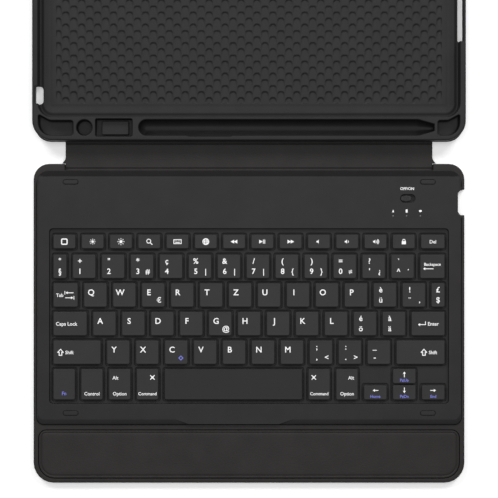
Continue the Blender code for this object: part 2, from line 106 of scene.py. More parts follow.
def box_corners(x0, y0, x1, y1, radii):
    """Corners for path: front-left, front-right, rear-right, rear-left."""
    sizes = radii if isinstance(radii, (list, tuple)) else [radii] * 4
    return [(x0, y0, sizes[0]), (x1, y0, sizes[1]), (x1, y1, sizes[2]), (x0, y1, sizes[3])]


def round_corners(x, y, radius):
    """A circle as corners for path."""
    return box_corners(x - radius, y - radius, x + radius, y + radius, radius * 0.999)


def fillet(inset, top, radius, steps=4):
    """(inset, z) pairs of a quarter round from an upright wall to a level top."""
    angles = [math.pi / 2 * k / steps for k in range(steps + 1)]
    return [(inset + radius * (1 - math.cos(a)), top - radius * (1 - math.sin(a))) for a in angles]


def cove(inset, bottom, radius, steps=4):
    """(inset, z) pairs of a hollow quarter round from an upright wall to a level floor."""
    angles = [math.pi / 2 * k / steps for k in range(steps + 1)]
    return [(inset + radius * (1 - math.cos(a)), bottom + radius * (1 - math.sin(a))) for a in angles]


# Shapes -----------------------------------------------------------------------------------------

class Shape:
    """Collects points and faces of one piece."""

    def __init__(self):
        self.points = []
        self.faces = []

    def ring(self, outline, z):
        first = len(self.points)
        self.points += [(x, y, z) for x, y in outline]
        return list(range(first, len(self.points)))

    def join(self, lower, upper):
        for i in range(len(lower)):
            j = (i + 1) % len(lower)
            self.faces.append((lower[i], lower[j], upper[j], upper[i]))

    def wall(self, corners, pairs, steps=6):
        """Rings of one outline at (inset, z) pairs, joined in turn. Returns the last outline."""
        last = None
        for inset, z in pairs:
            outline = path(corners, inset, steps)
            ring = self.ring(outline, z)
            if last:
                self.join(last, ring)
            last = ring
        return outline

    def fill(self, outline, z, holes=(), down=False):
        """A level face inside an outline and outside its holes."""
        flat = [Vector(point) for point in outline]
        loops = [list(range(len(flat)))]
        for hole in holes:
            first = len(flat)
            flat += [Vector(point) for point in hole]
            loops.append(list(range(first, len(flat))))
        places, _, triangles, _, _, sources = delaunay_2d_cdt(flat, [], loops, 1, 1e-5)
        first = len(self.points)
        self.points += [(p.x, p.y, z) for p in places]
        for triangle, source in zip(triangles, sources):
            if len(source) != 1 or source[0] != 0:
                continue
            a, b, c = (places[i] for i in triangle)
            up = (b - a).cross(c - a) > 0
            face = tuple(first + i for i in triangle)
            self.faces.append(face if up != down else face[::-1])

    def plate(self, corners, bottom, top, edge=0.3, steps=6):
        """A solid plate with rounded top and bottom edges."""
        low = [(inset, bottom + top - z) for inset, z in reversed(fillet(0.0, top, edge))]
        outline = self.wall(corners, low + fillet(0.0, top, edge), steps)
        self.fill(outline, top)
        self.fill(path(corners, edge, steps), bottom, down=True)

    def pit(self, corners, top, bottom, lip=0.3, foot=0.4, steps=6, holes=(), floor=True):
        """A hollow with a rounded lip and foot. Returns the outline that it needs in the face round it."""
        pairs = [(-inset, z) for inset, z in reversed(fillet(0.0, top, lip))]
        pairs += cove(0.0, bottom, foot)
        outline = self.wall(corners, pairs, steps)
        if floor:
            self.fill(outline, bottom, holes)
        return path(corners, -lip, steps)

    def add(self, points, faces):
        first = len(self.points)
        self.points += points
        self.faces += [tuple(first + i for i in face) for face in faces]

    def make(self, name, material, body=None, replaces=(), slot=None, sharp=35.0, parent=None):
        """The finished object, riding on a body or on a parent piece."""
        mesh = bpy.data.meshes.new(name)
        mesh.from_pydata([(x * METRES, y * METRES, z * METRES) for x, y, z in self.points], [], self.faces)
        weld(mesh)
        mesh.polygons.foreach_set("use_smooth", [True] * len(mesh.polygons))
        mesh.set_sharp_from_angle(angle=math.radians(sharp))
        piece = bpy.data.objects.new(name, mesh)
        bpy.context.scene.collection.objects.link(piece)
        mesh.materials.append(material)
        shade = piece.modifiers.new("weighted normals", "WEIGHTED_NORMAL")
        shade.keep_sharp = True
        if parent:
            piece.parent = parent
        if body:
            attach(piece, body)
        if replaces:
            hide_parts(*replaces)
        return piece


def weld(mesh):
    """Joins points that coincide and drops faces that this empties."""
    shell = bmesh.new()
    shell.from_mesh(mesh)
    bmesh.ops.remove_doubles(shell, verts=shell.verts, dist=WELD)
    bmesh.ops.dissolve_degenerate(shell, edges=shell.edges, dist=WELD / 10)
    shell.to_mesh(mesh)
    shell.free()


# Materials --------------------------------------------------------------------------------------

class Graph:
    """A node material and short ways to add nodes to it."""

    def __init__(self, name, roughness, metallic=0.0, specular=0.5):
        self.material = bpy.data.materials.new(name)
        self.material.use_nodes = True
        self.nodes = self.material.node_tree.nodes
        self.shader = self.nodes["Principled BSDF"]
        self.shader.inputs["Roughness"].default_value = roughness
        self.shader.inputs["Metallic"].default_value = metallic
        self.shader.inputs["Specular IOR Level"].default_value = specular
        self.place = self.nodes.new("ShaderNodeTexCoord").outputs["Object"]

    def link(self, source, target):
        self.material.node_tree.links.new(source, target)

    def noise(self, grain, detail=3.0):
        """Noise whose lumps are about this many millimetres across."""
        node = self.nodes.new("ShaderNodeTexNoise")
        node.inputs["Scale"].default_value = 1.0 / (grain * METRES)
        node.inputs["Detail"].default_value = detail
        self.link(self.place, node.inputs["Vector"])
        return node.outputs["Fac"]

    def pebbles(self, grain):
        """Rounded cells, as of leather, about this many millimetres across."""
        node = self.nodes.new("ShaderNodeTexVoronoi")
        node.feature = "SMOOTH_F1"
        node.inputs["Scale"].default_value = 1.0 / (grain * METRES)
        node.inputs["Smoothness"].default_value = 0.4
        self.link(self.place, node.inputs["Vector"])
        return node.outputs["Distance"]

    def tint(self, mask, dark, light):
        ramp = self.nodes.new("ShaderNodeValToRGB")
        ramp.color_ramp.elements[0].position = 0.3
        ramp.color_ramp.elements[0].color = (*dark, 1.0)
        ramp.color_ramp.elements[1].position = 0.7
        ramp.color_ramp.elements[1].color = (*light, 1.0)
        self.link(mask, ramp.inputs["Fac"])
        self.link(ramp.outputs["Color"], self.shader.inputs["Base Color"])

    def rise(self, mask, height, strength=1.0, under=None):
        """A bump of this many millimetres, on top of another one."""
        bump = self.nodes.new("ShaderNodeBump")
        bump.inputs["Distance"].default_value = height * METRES
        bump.inputs["Strength"].default_value = strength
        self.link(mask, bump.inputs["Height"])
        if under:
            self.link(under, bump.inputs["Normal"])
        self.link(bump.outputs["Normal"], self.shader.inputs["Normal"])
        return bump.outputs["Normal"]


def mixed(colour, factor):
    return tuple(min(c * factor, 1.0) for c in colour)


def textured(name, colour, roughness, grain, height, metallic=0.0, specular=0.5, spread=0.12,
             clouds=12.0, cells=None, cell_height=0.0):
    """A material with fine grain, slow changes of shade and, for leather, pebbles."""
    graph = Graph(name, roughness, metallic, specular)
    graph.tint(graph.noise(clouds, 2.0), mixed(colour, 1 - spread), mixed(colour, 1 + spread))
    normal = graph.rise(graph.noise(grain), height)
    if cells:
        graph.rise(graph.pebbles(cells), cell_height, under=normal)
    return graph.material


MATERIALS = {
    "leather": textured("leather", (0.0153, 0.0138, 0.0132), 0.60, 0.35, 0.03, specular=0.25,
                        cells=0.9, cell_height=0.05),
    "housing": textured("housing", (0.0130, 0.0118, 0.0123), 0.55, 0.12, 0.010, specular=0.24),
    # painted shade: a darker copy of the housing, for the sloped strip along the deck's rear edge
    "rear_slope_painted_shade": textured("rear_slope_painted_shade", (0.0060, 0.0056, 0.0058), 0.70, 0.12, 0.010, specular=0.15),
    "key": textured("key", (0.0190, 0.0180, 0.0186), 0.50, 0.10, 0.006, specular=0.22, spread=0.05),
    "bar": textured("bar", (0.0118, 0.0112, 0.0116), 0.50, 0.10, 0.006, specular=0.22, spread=0.05),
    "bumper": textured("bumper", (0.0180, 0.0180, 0.0180), 0.70, 0.15, 0.012, specular=0.25),
    "tray": textured("tray", (0.0132, 0.0128, 0.0131), 0.55, 0.15, 0.012, specular=0.22, spread=0.08),
    "steel": textured("steel", (0.50, 0.50, 0.51), 0.32, 0.20, 0.004, metallic=1.0),
    "membrane": textured("membrane", (0.60, 0.60, 0.56), 0.55, 0.40, 0.010),
    "board": textured("board", (0.02, 0.11, 0.04), 0.45, 0.60, 0.010, spread=0.25, clouds=3.0),
    "cell": textured("cell", (0.34, 0.35, 0.37), 0.38, 0.50, 0.020, metallic=0.8, clouds=6.0),
    "lamp": textured("lamp", (0.10, 0.10, 0.095), 0.30, 0.20, 0.002),
    "legend": textured("legend", (0.88, 0.88, 0.88), 0.55, 0.05, 0.001, spread=0.04),
    "blue": textured("blue", (0.16, 0.17, 0.62), 0.55, 0.05, 0.001, spread=0.04),
    # painted shade: near-black, for sheets laid where the gaps between keys and the switch slot fall into
    # shade
    "hole": textured("hole", (0.006, 0.006, 0.006), 0.80, 0.20, 0.010),
    "floor": textured("floor", (0.90, 0.90, 0.90), 0.90, 2.0, 0.010, specular=0.1, spread=0.005,
                      clouds=60.0),
}

# Base -------------------------------------------------------------------------------------------

MODULE_HALF = 126.8                # the keyboard's housing
MODULE_FRONT = 35.1
MODULE_REAR = 186.7
NOTCH_FRONT = 160.3
NOTCH_REAR = 175.5
NOTCH_INNER = 125.2
MODULE_CORNERS = (4.0, 4.0, 6.5, 6.5)
SPINE_ROOM = SPINE_HALF + 0.05
ROOM_EDGE = base_y(187.2)


def notched(half, front, rear, corners, notch_grow=0.0):
    """A plate's corners with the charging notch cut into its right edge."""
    inner = NOTCH_INNER - notch_grow
    low = base_y(NOTCH_FRONT) - notch_grow
    high = base_y(NOTCH_REAR) + notch_grow
    return [
        (-half, front, corners[0]), (half, front, corners[1]),
        (half, low, 0.5), (inner + 1.4, low, 0.8), (inner, low + 2.0, 0.8),
        (inner, high - 1.8, 0.8), (inner + 2.0, high, 0.8), (half, high, 0.5),
        (half, rear, corners[2]), (-half, rear, corners[3]),
    ]


def cover_corners():
    """The base's cover: ears beside the spine, and the charging notch."""
    outline = notched(CASE_HALF, FRONT, EAR_EDGE, (12.0, 12.0, 9.3, 9.3))
    rear_right, rear_left = outline[8], outline[9]
    room = [(SPINE_ROOM, EAR_EDGE, 0.8), (SPINE_ROOM, ROOM_EDGE, 0.4),
            (-SPINE_ROOM, ROOM_EDGE, 0.4), (-SPINE_ROOM, EAR_EDGE, 0.8)]
    return outline[:8] + [rear_right] + room + [rear_left]


def make_cover():
    """The leather-look cover, turned up round the keyboard into a rim, with hollows for pad and module."""
    corners = cover_corners()
    shape = Shape()
    edge = [(inset, 3.6 - z) for inset, z in reversed(fillet(0.0, 3.6, 0.5))]
    outline = shape.wall(corners, edge + fillet(0.0, 3.6, 0.9))
    shape.fill(path(corners, 0.5), 0.0, down=True)
    pad = box_corners(-126.1, base_y(2.6), 126.1, base_y(31.8), [9.5, 9.5, 4.8, 4.8])
    holes = [shape.pit(pad, 3.6, 1.25, 0.35, 0.3)]
    module = notched(127.1, base_y(34.8), base_y(185.5), MODULE_CORNERS, 1.6)
    holes.append(shape.pit(module, 3.6, 1.25, 0.3, 0.3))
    shape.fill(outline, 3.6, holes)
    return shape.make("base_cover", MATERIALS["leather"], "base", ["base_shell"], "leather")


def make_palm_pad():
    """The padded strip, with an embossed line along its edge."""
    corners = box_corners(-125.8, base_y(2.9), 125.8, base_y(31.5), [9.2, 9.2, 4.5, 4.5])
    shape = Shape()
    profile = [(0.4, 1.3), (0.0, 1.7), (0.0, 3.2)] + fillet(0.0, 3.8, 0.5)
    profile += [(0.9, 3.8), (1.15, 3.62), (1.45, 3.5), (1.75, 3.62), (2.1, 3.78), (2.8, 3.85), (4.5, 3.88)]
    outline = shape.wall(corners, profile)
    shape.fill(outline, 3.88)
    shape.fill(path(corners, 0.4), 1.3, down=True)
    return shape.make("palm_pad", MATERIALS["leather"], "base", ["palm_rest"], "leather")


# Keys -------------------------------------------------------------------------------------------

def cap_places(node):
    """Each cap of a CAD key node as (x0, y0, x1, y1), from the level faces on top of it."""
    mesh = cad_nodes[node].data
    groups = []
    for face in mesh.polygons:
        spots = [mesh.vertices[i].co / METRES for i in face.vertices]
        if min(spot.z for spot in spots) < KEY_TOP - 0.05:
            continue
        x0, x1 = min(s.x for s in spots), max(s.x for s in spots)
        y0, y1 = min(s.y for s in spots), max(s.y for s in spots)
        near = [g for g in groups if x0 < g[2] + 0.5 and x1 > g[0] - 0.5]
        groups = [g for g in groups if g not in near]
        for g in near:
            x0, y0, x1, y1 = min(x0, g[0]), min(y0, g[1]), max(x1, g[2]), max(y1, g[3])
        groups.append((x0, y0, x1, y1))
    out = KEY_CHAMFER
    return [(x0 - out, y0 - out, x1 + out, y1 + out) for x0, y0, x1, y1 in sorted(groups)]


def make_caps(node, places):
    """Key caps with rounded corners and edges, very slightly hollow on top."""
    shape = Shape()
    for x0, y0, x1, y1 in places:
        corners = box_corners(x0, y0, x1, y1, 1.15)
        profile = [(0.15, KEY_BOTTOM), (0.0, KEY_BOTTOM + 0.2), (0.0, KEY_TOP - 0.6)]
        profile += fillet(0.0, KEY_TOP, 0.6, 6) + [(1.0, KEY_TOP - 0.01), (1.8, KEY_TOP - 0.04)]
        outline = shape.wall(corners, profile, steps=5)
        shape.fill(outline, KEY_TOP - 0.04)
        shape.fill(path(corners, 0.15, 5), KEY_BOTTOM, down=True)
    finish = "bar" if node == "key_space" else "key"
    return shape.make(node + "_caps", MATERIALS[finish], node, [node], "key")


# Deck -------------------------------------------------------------------------------------------

WELL = box_corners(-119.3, base_y(47.6), 119.3, base_y(152.2), 2.0)
HOLE_ROOM = 0.95                   # round a key in its hole in the web
FRONT_SLOPE = 2.9
REAR_SLOPE = 3.4
SIDE_SLOPE = 0.7
SWITCH_X = 94.9
SWITCH_Y = base_y(170.2)
LAMP_XS = (86.1, 94.2, 102.4)
LAMP_Y = base_y(159.8)
# Where the deck's top reaches its front edge without a slope.
FRONT_LIP = [(-36.0, base_y(35.2), 0.5), (18.0, base_y(35.2), 0.5), (28.0, base_y(38.6), 0.5),
             (28.0, base_y(39.6), 0.3), (-46.0, base_y(39.6), 0.3), (-46.0, base_y(38.6), 0.5)]


def bumper_spots():
    return [(x, base_y(v)) for v in (41.9, 180.0) for x in (-106.6, 106.9)]


def long_hole(x, y, length, width):
    return box_corners(x - length / 2, y - width / 2, x + length / 2, y + width / 2, width / 2 * 0.999)


def key_holes(places):
    """The boxes that holes go round: two keys one behind the other with little between them share one."""
    boxes = []
    for x0, y0, x1, y1 in sorted(places):
        if boxes and abs(boxes[-1][0] - x0) < 0.1 and y0 - boxes[-1][3] < 2 * HOLE_ROOM + 0.2:
            if abs(boxes[-1][2] - x1) < 0.1:
                boxes[-1] = (x0, boxes[-1][1], x1, y1)
                continue
        boxes.append((x0, y0, x1, y1))
    return boxes


def make_deck(places):
    """The keyboard's upper housing: sloped edges, the key well and the web with a hole for each key."""
    corners = notched(MODULE_HALF, base_y(MODULE_FRONT), base_y(MODULE_REAR), MODULE_CORNERS, 0.3)
    count = len(corners)
    slopes = [SIDE_SLOPE] * count
    slopes[0] = FRONT_SLOPE
    slopes[count - 2] = REAR_SLOPE
    shape = Shape()
    low = [([0.3] * count, 1.35), ([0.0] * count, 1.7), ([0.0] * count, 4.25), ([0.04] * count, 4.45)]
    steps = [(0.06, 4.55), (0.18, 4.72), (0.55, 5.0), (0.85, 5.17), (0.96, 5.25), (1.08, 5.3)]
    rings = low + [([0.06 + slope * part for slope in slopes], z) for part, z in steps]
    outline = shape.wall(corners, rings)
    shape.fill(path(corners, [0.3] * count), 1.35, down=True)
    holes = [shape.pit(WELL, DECK_TOP, WEB_TOP, 0.3, 0.5, floor=False)]
    web = []
    for x0, y0, x1, y1 in key_holes(places):
        room = HOLE_ROOM
        key_hole = box_corners(x0 - room, y0 - room, x1 + room, y1 + room, 1.5)
        web.append(shape.pit(key_hole, WEB_TOP, 2.72, 0.2, 0.1, steps=4, floor=False))
    shape.fill(path(WELL, 0.5), WEB_TOP, web)
    for x, y in bumper_spots():
        holes.append(shape.pit(long_hole(x, y, 9.4, 3.2), DECK_TOP, 4.75, 0.12, 0.1))
    switch = long_hole(SWITCH_X, SWITCH_Y, 9.0, 5.0)
    holes.append(shape.pit(switch, DECK_TOP, 3.9, 0.25, 0.2, floor=False))
    for x in LAMP_XS:
        holes.append(shape.pit(round_corners(x, LAMP_Y, 0.5), DECK_TOP, 4.9, 0.06, 0.05, steps=4))
    shape.fill(outline, DECK_TOP, holes)
    shape.plate(FRONT_LIP, 4.0, DECK_TOP + 0.004, 0.25)
    deck = shape.make("deck", MATERIALS["housing"], "base", ["top_housing"], "housing")
    # painted shade on the deck's sloped rear strip
    paint_shade_on_rear_slope(deck)
    # a near-black plate in place of the membrane: painted shade in the gaps between the keys
    under = Shape()
    under.plate(box_corners(-118.8, base_y(48.2), 118.8, base_y(151.6), 2.0), 2.35, 2.75, 0.1)
    under.make("key_well_painted_shade_floor", MATERIALS["hole"], "base", ["dome_sheet"], "membrane")
    return deck


def paint_shade_on_rear_slope(deck):
    """Paints shade on the sloped strip along the deck's rear edge: a darker, duller copy of the housing on
    its sloped faces.
    """
    deck.data.materials.append(MATERIALS["rear_slope_painted_shade"])
    start = base_y(MODULE_REAR - REAR_SLOPE) * METRES
    for face in deck.data.polygons:
        if face.center.y > start - 0.1 * METRES and 0.5 < face.normal.z <= 0.9999:
            face.material_index = 1


def make_deck_parts():
    for i, (x, y) in enumerate(bumper_spots(), 1):
        shape = Shape()
        corners = long_hole(x, y, 8.7, 2.5)
        profile = [(0.1, 4.8), (0.0, 4.9), (0.0, 5.2)] + fillet(0.0, 5.7, 0.45)
        outline = shape.wall(corners, profile)
        shape.fill(outline, 5.7)
        shape.fill(path(corners, 0.1), 4.8, down=True)
        shape.make(f"bumper_{i}_pad", MATERIALS["bumper"], "base", [f"bumper_{i}"], "bumper")
    for name, x in zip(("caps_lamp", "battery_lamp", "pairing_lamp"), LAMP_XS):
        shape = Shape()
        shape.wall(round_corners(x, LAMP_Y, 0.44), [(0.0, 4.5), (0.0, 5.15)] + fillet(0.0, 5.22, 0.07), 4)
        shape.fill(path(round_corners(x, LAMP_Y, 0.44), 0.07, 4), 5.22)
        shape.make(name + "_lens", MATERIALS["lamp"], "base", [name], "lamp")
    # a near-black plate at the bottom of the switch slot: painted shade
    slot_floor = Shape()
    slot_floor.plate(long_hole(SWITCH_X, SWITCH_Y, 9.4, 5.4), 3.35, 3.62, 0.05)
    slot_floor.make("switch_slot_painted_shade_floor", MATERIALS["hole"], "base")


def make_slider():
    """The switch's knob: a lens shape with three ribs across it."""
    shape = Shape()
    x = SWITCH_X - 1.0
    corners = [(x - 3.2, SWITCH_Y - 1.1, 1.0), (x, SWITCH_Y - 2.0, 4.0), (x + 3.2, SWITCH_Y - 1.1, 1.0),
               (x + 3.2, SWITCH_Y + 1.1, 1.0), (x, SWITCH_Y + 2.0, 4.0), (x - 3.2, SWITCH_Y + 1.1, 1.0)]
    outline = shape.wall(corners, [(0.05, 3.72), (0.0, 3.8), (0.0, 4.5)] + fillet(0.0, 4.85, 0.3))
    shape.fill(outline, 4.85)
    shape.fill(path(corners, 0.05), 3.72, down=True)
    for shift in (-1.2, 0.0, 1.2):
        rib = box_corners(x + shift - 0.22, SWITCH_Y - 1.2, x + shift + 0.22, SWITCH_Y + 1.2, 0.2)
        shape.wall(rib, [(0.0, 4.8), (0.0, 4.95)] + fillet(0.0, 5.05, 0.1), 3)
        shape.fill(path(rib, 0.1, 3), 5.05)
    shape.make("power_knob", MATERIALS["key"], "power_switch", ["power_slider"], "housing")


# Legends ----------------------------------------------------------------------------------------

LEGEND_Z = KEY_TOP - 0.015
LAYERS = 12                        # marks that overlap lie on different levels, to stay clean
LAYER_STEP = 0.0008
TEXT_WEIGHT = 0.014                # thickens the built-in font
TEXT_MIDDLE = 0.36                 # height of the middle of a letter
text_meshes = {}


def text_mesh(text):
    """Outline points and triangles of a word in the built-in font, one millimetre high, and its width."""
    if text not in text_meshes:
        curve = bpy.data.curves.new("word", "FONT")
        curve.body = text
        curve.size = 1.0
        curve.resolution_u = 3
        curve.offset = TEXT_WEIGHT
        word = bpy.data.objects.new("word", curve)
        bpy.context.scene.collection.objects.link(word)
        mesh = bpy.data.meshes.new_from_object(word)
        points = [tuple(v.co) for v in mesh.vertices]
        faces = [tuple(p.vertices) for p in mesh.polygons]
        bpy.data.objects.remove(word)
        bpy.data.curves.remove(curve)
        bpy.data.meshes.remove(mesh)
        text_meshes[text] = (points, faces)
    return text_meshes[text]


class Marks:
    """The printed marks of one group of keys."""

    def __init__(self):
        self.white = Shape()
        self.blue = Shape()
        self.layer = 0

    def word(self, text, x, y, size, blue=False, centred=True):
        points, faces = text_mesh(text)
        if not points:
            return
        low, high = min(p[0] for p in points), max(p[0] for p in points)
        middle = 0.5 * (low + high) if centred else low
        placed = [(x + (px - middle) * size, y + (py - TEXT_MIDDLE) * size, LEGEND_Z) for px, py, _ in points]
        (self.blue if blue else self.white).add(placed, faces)

    def blob(self, points, x, y, size, blue=False):
        """A filled outline given in units of size about (x, y)."""
        shape = self.blue if blue else self.white
        self.layer = (self.layer + 1) % LAYERS
        level = LEGEND_Z + LAYER_STEP * self.layer
        shape.fill([(x + px * size, y + py * size) for px, py in points], level)

    def stroke(self, points, x, y, size, width=0.28, closed=False, blue=False):
        """A line of this width in millimetres through points in units of size."""
        spots = [Vector((x + px * size, y + py * size)) for px, py in points]
        pairs = list(zip(spots, spots[1:]))
        if closed:
            pairs.append((spots[-1], spots[0]))
        for a, b in pairs:
            along = (b - a).normalized() * width / 2
            side = Vector((-along.y, along.x))
            a, b = a - along * 0.8, b + along * 0.8
            self.blob([tuple(a - side), tuple(b - side), tuple(b + side), tuple(a + side)], 0, 0, 1, blue)

    def make(self, name, parent):
        for shape, finish in ((self.white, "legend"), (self.blue, "blue")):
            if shape.faces:
                shape.make(f"{name}_{finish}", MATERIALS[finish], parent=parent)


def circle_points(radius, count=16):
    turns = [2 * math.pi * k / count for k in range(count)]
    return [(radius * math.cos(t), radius * math.sin(t)) for t in turns]


SQUARE = [(-1, -1), (1, -1), (1, 1), (-1, 1)]
RIGHT_WEDGE = [(-0.5, -0.6), (0.6, 0.0), (-0.5, 0.6)]
LEFT_WEDGE = [(0.5, 0.6), (-0.6, 0.0), (0.5, -0.6)]


def sun(marks, x, y, size):
    marks.blob(circle_points(0.48), x, y, size)
    for px, py in circle_points(1.0, 8):
        marks.stroke([(px * 0.8, py * 0.8), (px, py)], x, y, size, 0.36)


def magnifier(marks, x, y, size):
    marks.stroke(circle_points(0.62), x - 0.15 * size, y + 0.15 * size, size, 0.45, True)
    marks.stroke([(0.35, -0.35), (0.9, -0.9)], x, y, size, 0.5)


def keyboard_mark(marks, x, y, size):
    marks.stroke([(-1.3, -0.7), (1.3, -0.7), (1.3, 0.7), (-1.3, 0.7)], x, y, size, 0.42, True)
    for px in (-0.8, -0.27, 0.27, 0.8):
        marks.blob(SQUARE, x + px * size, y + 0.25 * size, 0.2)
    marks.stroke([(-0.7, -0.3), (0.7, -0.3)], x, y, size, 0.4)


def globe(marks, x, y, size):
    marks.stroke(circle_points(0.95, 20), x, y, size, 0.5, True)
    marks.stroke([(px * 0.45, py) for px, py in circle_points(0.95, 16)], x, y, size, 0.4, True)
    for height in (-0.45, 0.0, 0.45):
        marks.stroke([(-0.85, height), (0.85, height)], x, y, size, 0.4)


def padlock(marks, x, y, size):
    marks.blob([(-0.7, -0.9), (0.7, -0.9), (0.7, 0.15), (-0.7, 0.15)], x, y, size)
    arch = [(0.45 * math.cos(t), 0.15 + 0.65 * math.sin(t)) for t in np.linspace(0, math.pi, 9)]
    marks.stroke(arch, x, y, size, 0.42)


def speaker(marks, x, y, size, waves):
    horn = [(-1.0, -0.3), (-0.6, -0.3), (-0.1, -0.8), (-0.1, 0.8), (-0.6, 0.3), (-1.0, 0.3)]
    marks.blob(horn, x, y, size)
    for k in range(waves):
        reach = 0.4 + 0.4 * k
        bow = [(0.1 + reach * math.cos(t), reach * math.sin(t)) for t in np.linspace(-0.9, 0.9, 7)]
        marks.stroke(bow, x, y, size, 0.34)


def wedges(marks, x, y, size, signs, bars=0):
    """Play, rewind and pause marks: a row of wedges, then upright bars."""
    wide = 1.0 * size
    start = x - wide * (len(signs) + 0.5 * bars - 1) / 2
    for k, sign in enumerate(signs):
        marks.blob(RIGHT_WEDGE if sign > 0 else LEFT_WEDGE, start + k * wide, y, size)
    for k in range(bars):
        left = start + (len(signs) - 0.2 + 0.45 * k) * wide
        marks.stroke([(0, -0.55), (0, 0.55)], left, y, size, 0.42)


def frame_mark(marks, x, y, size):
    marks.stroke(path(box_corners(-1.05, -1, 1.05, 1, 0.4), 0.0, 3), x, y, size, 0.7, True)


def tilted_square(marks, x, y, size, blue=False):
    """A plain mark in place of a maker's own."""
    marks.stroke([(-0.7, 0), (0, -0.7), (0.7, 0), (0, 0.7)], x, y, size, 0.5, True, blue)


FUNCTION_LEFT = [frame_mark, sun, sun, magnifier, keyboard_mark, globe]
FUNCTION_SIZES = [1.55, 1.6, 1.95, 1.9, 1.7, 1.85]
# Each cap's marks: one letter, or the upper, the lower and the lower right one.
LETTER_ROWS = {
    "key_upper_left": ["Q", "W", ("E", "", "\u20ac"), "R", "T", "Z"],
    "key_upper_right": ["U", "I", "O", "P", ("\u00e8", "\u00fc", ""), ("!", "\u00a8", ","),
                        ("\u00a3", "$", "")],
    "key_home_row": ["A", "S", "D", "F", ("G", "", "@"), "H", "J", "K", "L", ("\u00e9", "\u00f6", ""),
                     ("\u00e0", "\u00e4", "")],
    "key_lower_row": ["Y", "X", "C", "V", "B", "N", "M", (";", ",", "<"), (":", ".", ">"), ("_", "-", "")],
    "key_number_left": [("\u00b0", "\u00a7", ""), ("+", "1", ""), ("\"", "2", ""), ("*", "3", "#"),
                        ("\u00e7", "4", ""), ("%", "5", "|"), ("&", "6", "|")],
    "key_number_right": [("/", "7", "|"), ("(", "8", "{"), (")", "9", "}"), ("=", "0", "\u2260"),
                         ("?", "'", "\u00bf"), ("`", "^", "\u00b4")],
}
LETTER = 4.9                       # font sizes
SIGN = 4.6
LABEL = 2.85
HEAD_LENGTH = 1.3                  # of an arrow
HEAD_HALF = 0.85


def letter_marks(marks, place, signs):
    x0, y0, x1, y1 = place
    left = (x0 + x1) / 2 if x1 - x0 < 10 else x0 + 4.5
    if isinstance(signs, str):
        marks.word(signs, left, y1 - 5.5, LETTER)
        return
    upper, lower, right = signs
    if lower:
        marks.word(upper, left, y1 - 3.9, SIGN)
        marks.word(lower, left, y0 + 4.5, SIGN)
    else:
        marks.word(upper, left, y1 - 5.5, LETTER)
    if right:
        marks.word(right, x1 - 3.6, y0 + 4.4, SIGN * 0.95)


def house_mark(marks, x, y):
    """A plain outlined arrow that points up, for Shift."""
    marks.stroke([(-0.45, -1), (0.45, -1), (0.45, 0), (0.95, 0), (0, 1.05), (-0.95, 0), (-0.45, 0)],
                 x, y, 1.75, 0.5, True)


def arrow_mark(marks, x, y, dx, dy, length, blue=False):
    """A shaft with a solid head."""
    half = length / 2
    marks.stroke([(-half * dx, -half * dy), (half * dx * 0.5, half * dy * 0.5)], x, y, 1.0, 0.45, blue=blue)
    back_x, back_y = half * dx - HEAD_LENGTH * dx, half * dy - HEAD_LENGTH * dy
    side_x, side_y = -HEAD_HALF * dy, HEAD_HALF * dx
    tip = [(half * dx, half * dy), (back_x + side_x, back_y + side_y), (back_x - side_x, back_y - side_y)]
    marks.blob(tip, x, y, 1.0, blue)


def wide_key_marks(marks, node, place):
    """Labels of the keys beside the letters."""
    x0, y0, x1, y1 = place
    x, y = (x0 + x1) / 2, (y0 + y1) / 2
    which = node.removeprefix("key_")
    if which == "delete":
        marks.word("Del", x, y, LABEL)
    elif which == "backspace":
        marks.word("Backspace", x, y1 - 5.9, LABEL * 0.86)
        arrow_mark(marks, x - 2.6, y1 - 8.6, -1, 0, 6.0)
    elif which == "tab":
        marks.word("Tab", x0 + 1.9, y, LABEL, centred=False)
        for drop, side in ((1.4, -1), (-1.6, 1)):
            arrow_mark(marks, x1 - 5.2, y + drop, side, 0, 4.6)
            marks.stroke([(0, -0.9), (0, 0.9)], x1 - 5.2 + side * 2.7, y + drop, 1.0, 0.4)
    elif which == "caps_lock":
        marks.word("Caps Lock", x0 + 1.8, y, LABEL * 1.05, centred=False)
    elif which == "enter":
        marks.word("Enter", x1 - 10.2, y, LABEL * 1.05, centred=False)
        arrow_mark(marks, x1 - 13.9, y - 0.5, -1, 0, 4.6)
        marks.stroke([(0, 0), (0, 1.7)], x1 - 11.7, y - 0.5, 1.0, 0.45)
    elif which == "left_shift":
        house_mark(marks, x0 + 4.5, y)
        marks.word("Shift", x0 + 7.4, y, LABEL, centred=False)
    elif which == "right_shift":
        house_mark(marks, x1 - 12.6, y)
        marks.word("Shift", x1 - 9.7, y, LABEL, centred=False)
    elif which == "fn":
        marks.word("Fn", x, y0 + 4.0, LABEL * 1.05, blue=True)
    elif which == "left_control":
        marks.word("Control", x, y0 + 3.8, LABEL)
    elif which.endswith("option"):
        marks.word("Option", x, y0 + 3.8, LABEL)
        marks.word("Alt", x0 + 4.1 if which.startswith("left") else x1 - 4.2, y1 - 5.3, LABEL)
    elif which.endswith("command"):
        marks.word("Command", x, y0 + 3.8, LABEL * 0.92)
        crossed_mark(marks, x1 - 3.7 if which.startswith("left") else x0 + 3.4, y1 - 5.1, 1.15)


def crossed_mark(marks, x, y, size):
    """A plain cross with a square, in place of a maker's own sign."""
    marks.stroke([(-1, -1), (1, 1)], x, y, size, 0.5)
    marks.stroke([(-1, 1), (1, -1)], x, y, size, 0.5)
    marks.stroke([(-0.45, -0.45), (0.45, -0.45), (0.45, 0.45), (-0.45, 0.45)], x, y, size, 0.3, True)


ARROWS = {"left": (-1, 0, "Home"), "right": (1, 0, "End"), "up": (0, 1, "PgUp"), "down": (0, -1, "PgDn")}


